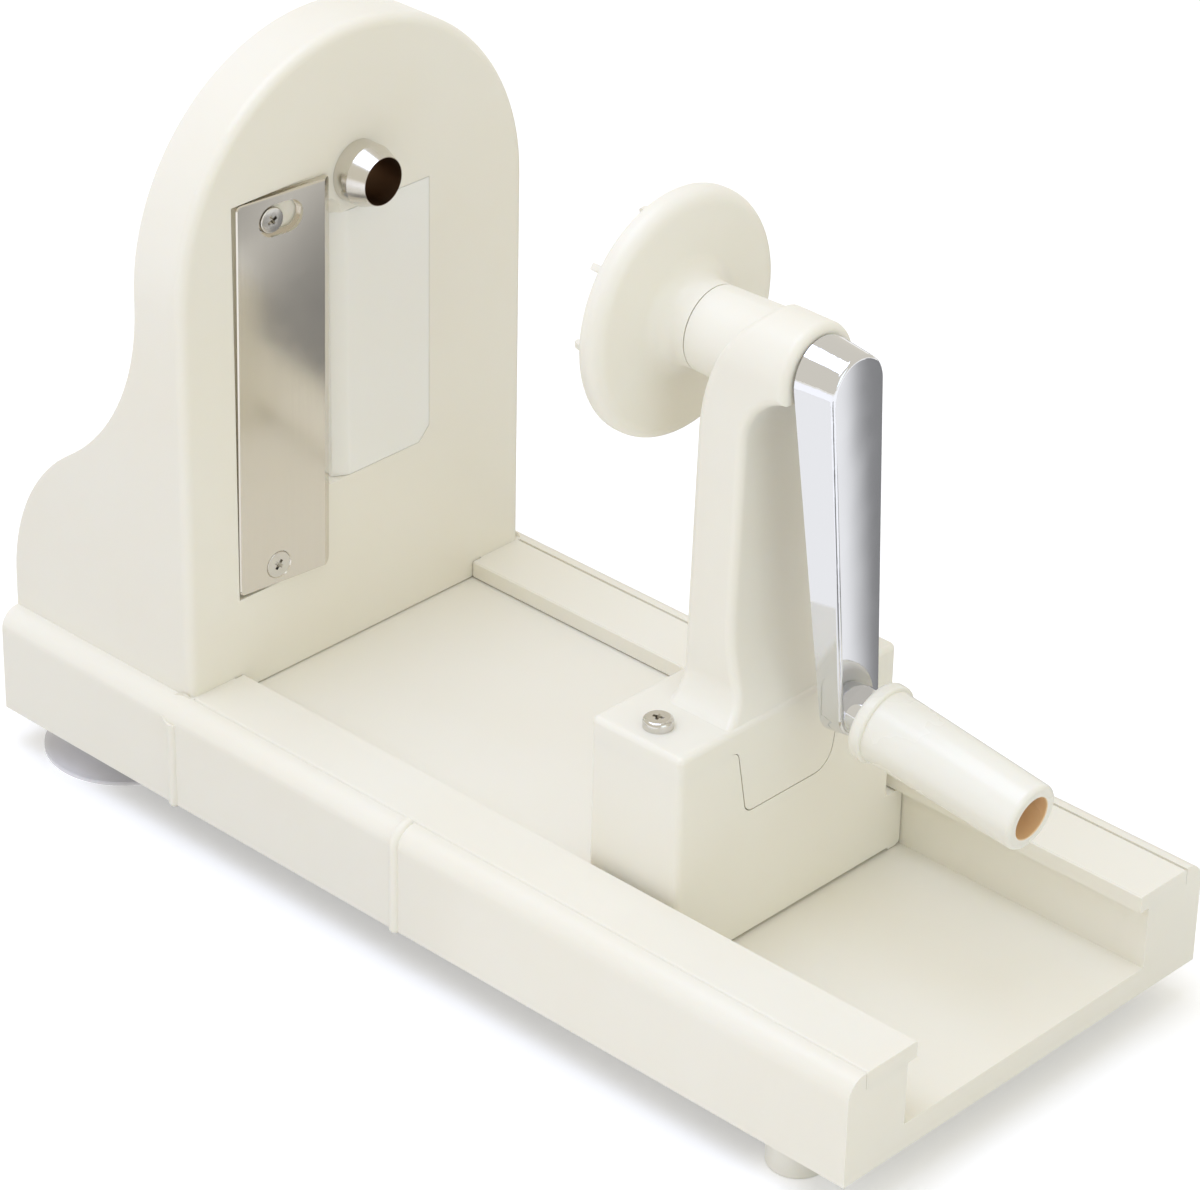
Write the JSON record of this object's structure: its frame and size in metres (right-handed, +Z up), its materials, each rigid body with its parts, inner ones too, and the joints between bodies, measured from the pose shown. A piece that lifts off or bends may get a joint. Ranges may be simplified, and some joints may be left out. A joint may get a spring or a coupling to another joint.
{
  "type": "hand-cranked turning slicer",
  "caption": "Hand-cranked turning slicer: a food holder on a sliding carriage is cranked against an upright blade and coring tube on a suction-footed base.",
  "frame": {"origin": "on the table under the middle of the base", "axes": "+X from the blade housing towards the crank, along the shaft and the carriage's travel; +Z up; +Y to the side away from the blade"},
  "size_m": [0.271, 0.122, 0.1917],
  "materials": {
    "ivory": "warm ivory moulded plastic with a fine satin texture",
    "white_insert": "whiter moulded plastic, smooth",
    "grip_ivory": "smooth ivory plastic",
    "blade_steel": "lengthwise ground stainless steel",
    "tube_steel": "turned stainless steel",
    "screw_steel": "bright stainless steel",
    "chrome": "polished chrome on cast metal",
    "vinyl": "clear soft vinyl",
    "foot_rubber": "pale soft plastic"
  },
  "bodies": {
    "base": {"base_tray": "ivory", "rail_cap_left": "ivory", "rail_cap_right": "ivory", "blade_housing": "ivory", "housing_screws": "screw_steel", "throat_plate": "white_insert", "coring_tube": "tube_steel", "blade_pivot_screw": "screw_steel", "blade_clamp_screw": "screw_steel", "suction_cup_left": "vinyl", "suction_cup_right": "vinyl", "front_foot_left": "foot_rubber", "front_foot_right": "foot_rubber"},
    "blade": {"blade": "blade_steel"},
    "carriage": {"carriage": "ivory", "crank_stand": "ivory", "stand_screw_left": "screw_steel", "stand_screw_right": "screw_steel"},
    "crank": {"drive_shaft": "screw_steel", "food_holder": "ivory", "holder_screw": "screw_steel", "crank_arm": "chrome", "grip_pin": "screw_steel", "grip_washer": "screw_steel"},
    "grip": {"grip": "grip_ivory"}
  },
  "joints": [
    {"name": "carriage_slide", "type": "slide", "parent": "base", "child": "carriage", "axis": [1, 0, 0], "range_m": [-0.085, 0.058]},
    {"name": "crank_spin", "type": "hinge", "parent": "carriage", "child": "crank", "pos_m": [0.05, 0, 0.1554], "axis": [1, 0, 0], "continuous": true},
    {"name": "grip_spin", "type": "hinge", "parent": "crank", "child": "grip", "pos_m": [0.07879, 0.00623, 0.07444], "axis": [0.9917, 0.0099, -0.1284], "continuous": true},
    {"name": "blade_swing", "type": "hinge", "parent": "base", "child": "blade", "pos_m": [-0.07431, -0.0269, 0.0627], "axis": [0.9954, -0.0958, 0], "range_deg": [0, 0.8]}
  ]
}
